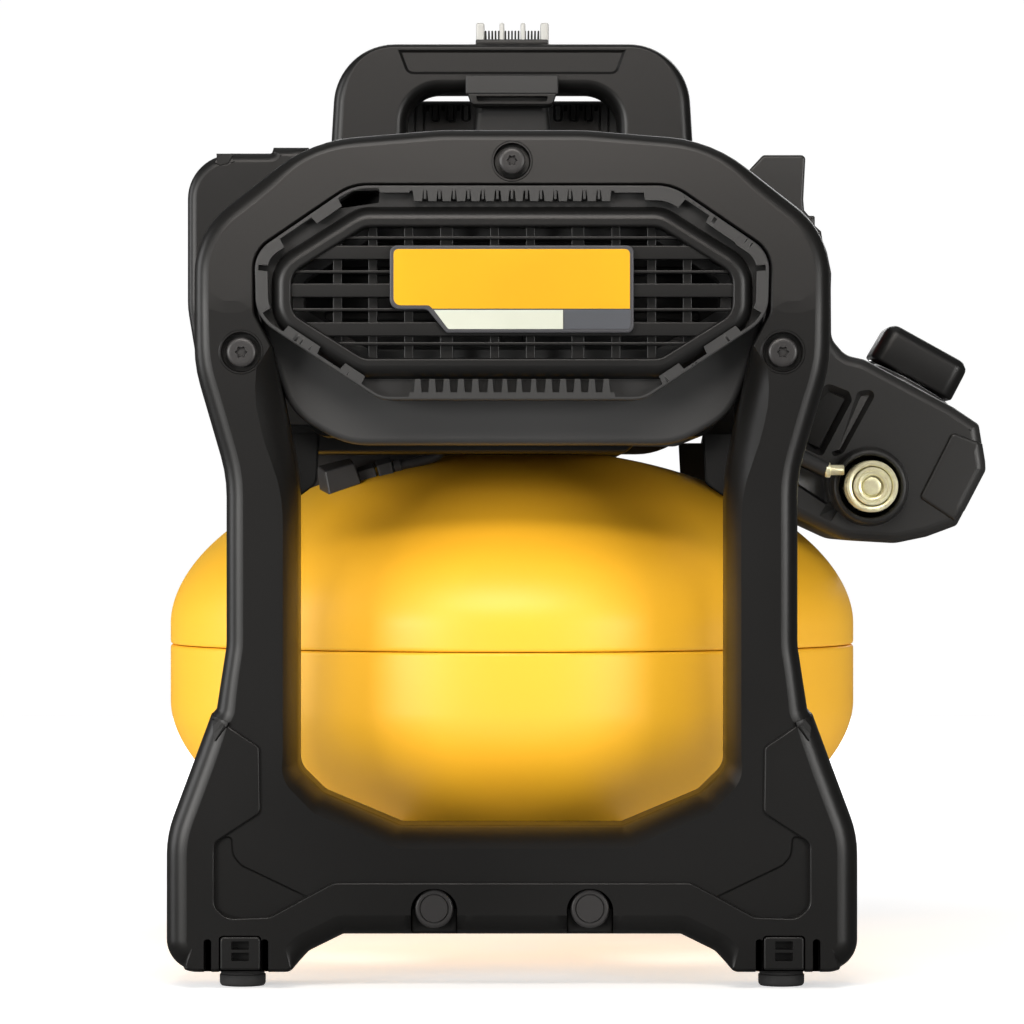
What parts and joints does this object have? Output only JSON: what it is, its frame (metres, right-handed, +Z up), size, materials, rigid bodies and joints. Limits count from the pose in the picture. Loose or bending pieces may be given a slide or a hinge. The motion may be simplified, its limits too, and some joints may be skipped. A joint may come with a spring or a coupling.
{
  "type": "pancake air compressor",
  "caption": "Portable pancake air compressor: a round tank between two end panels, with a pump shroud, carry handle, battery dock and tilted regulator console.",
  "frame": {"origin": "on the floor under the middle of the whole machine", "axes": "+Z up, +X towards the console at the front, Y along the machine from end panel to end panel"},
  "size_m": [0.366, 0.407, 0.4213],
  "materials": {
    "panel_plastic": "black moulded plastic with a fine texture",
    "grey_plastic": "dark grey moulded plastic",
    "shroud_plastic": "black moulded plastic",
    "tank_paint": "yellow powder coat over steel",
    "badge_face": "yellow plate with a white and a grey strip",
    "rubber": "black rubber",
    "black_steel": "black oxide steel",
    "steel": "machined steel",
    "brass": "turned brass",
    "aluminium": "die-cast aluminium",
    "copper": "copper tube and windings",
    "dial": "white gauge dial in a black case",
    "red_plastic": "red plastic",
    "board": "green circuit board"
  },
  "bodies": {
    "frame": {"side_frame_near": "panel_plastic", "side_frame_far": "panel_plastic", "end_cover_near": "grey_plastic", "end_cover_far": "grey_plastic", "vent_ring_near": "grey_plastic", "vent_ring_far": "grey_plastic", "vent_grille_near": "grey_plastic", "vent_grille_far": "grey_plastic", "badge_near": "badge_face", "badge_far": "badge_face", "arch_screw_rear_near": "black_steel", "arch_screw_rear_far": "black_steel", "arch_screw_top_near": "black_steel", "arch_screw_top_far": "black_steel", "arch_screw_front_near": "black_steel", "arch_screw_front_far": "black_steel", "base_bolt_rear_near": "black_steel", "base_bolt_rear_far": "black_steel", "foot_rear_near": "rubber", "foot_rear_far": "rubber", "base_bolt_front_near": "black_steel", "base_bolt_front_far": "black_steel", "foot_front_near": "rubber", "foot_front_far": "rubber", "tank_bracket_near": "black_steel", "tank_bracket_far": "black_steel", "tank_upper_shell": "tank_paint", "tank_lower_shell": "tank_paint", "pump_shroud": "shroud_plastic", "handle": "shroud_plastic", "top_vent_cover": "shroud_plastic", "battery_dock": "shroud_plastic", "front_cover": "shroud_plastic", "console_lower_shell": "shroud_plastic", "battery_terminal_block": "shroud_plastic", "handle_clip": "grey_plastic", "coupler_feed_tube": "rubber", "drain_valve_body": "brass", "coupler_body": "brass", "safety_valve": "brass", "regulator_body": "aluminium", "crankcase_and_cylinder": "aluminium", "cylinder_head": "aluminium", "motor_stator": "copper", "transfer_tube": "black_steel", "tank_gauge": "dial", "outlet_gauge": "dial", "tank_check_valve": "black_steel", "circuit_board": "board"},
    "regulator_knob": {"regulator_knob": "shroud_plastic"},
    "coupler_sleeve": {"coupler_sleeve": "brass"},
    "power_switch": {"power_switch": "red_plastic"},
    "drain_valve_knob": {"drain_valve_knob": "brass"},
    "safety_valve_ring": {"safety_valve_ring": "steel"},
    "motor_rotor": {"motor_rotor": "steel", "cooling_fan": "shroud_plastic", "crankshaft": "steel"},
    "piston": {"piston": "aluminium"},
    "tank_gauge_needle": {"tank_gauge_needle": "red_plastic"},
    "outlet_gauge_needle": {"outlet_gauge_needle": "red_plastic"}
  },
  "joints": [
    {"name": "regulator_turn", "type": "hinge", "parent": "frame", "child": "regulator_knob", "pos_m": [0.1508, 0, 0.2546], "axis": [0.4848, 0, 0.8746], "range_deg": [-150, 150]},
    {"name": "coupler_release", "type": "slide", "parent": "frame", "child": "coupler_sleeve", "axis": [0, 1, 0], "range_m": [0, 0.005], "stiffness_N_per_m": 600, "springref_m": -0.003},
    {"name": "switch_rock", "type": "hinge", "parent": "frame", "child": "power_switch", "pos_m": [0.1096, 0, 0.29], "axis": [0, 1, 0], "range_deg": [-9, 9]},
    {"name": "drain_turn", "type": "hinge", "parent": "frame", "child": "drain_valve_knob", "pos_m": [-0.0274, 0, 0.015], "axis": [0, 0, 1], "range_deg": [0, 180]},
    {"name": "safety_pull", "type": "slide", "parent": "frame", "child": "safety_valve_ring", "axis": [0, 1, 0], "range_m": [0, 0.003], "stiffness_N_per_m": 1500, "springref_m": -0.002},
    {"name": "motor_spin", "type": "hinge", "parent": "frame", "child": "motor_rotor", "pos_m": [-0.0274, 0, 0.292], "axis": [0, 1, 0], "continuous": true},
    {"name": "piston_stroke", "type": "slide", "parent": "frame", "child": "piston", "axis": [1, 0, 0], "range_m": [-0.009, 0.009]},
    {"name": "tank_needle_turn", "type": "hinge", "parent": "frame", "child": "tank_gauge_needle", "pos_m": [0.1508, -0.043, 0.2546], "axis": [0.4848, 0, 0.8746], "range_deg": [-270, 0]},
    {"name": "outlet_needle_turn", "type": "hinge", "parent": "frame", "child": "outlet_gauge_needle", "pos_m": [0.1508, 0.043, 0.2546], "axis": [0.4848, 0, 0.8746], "range_deg": [-270, 0]}
  ]
}
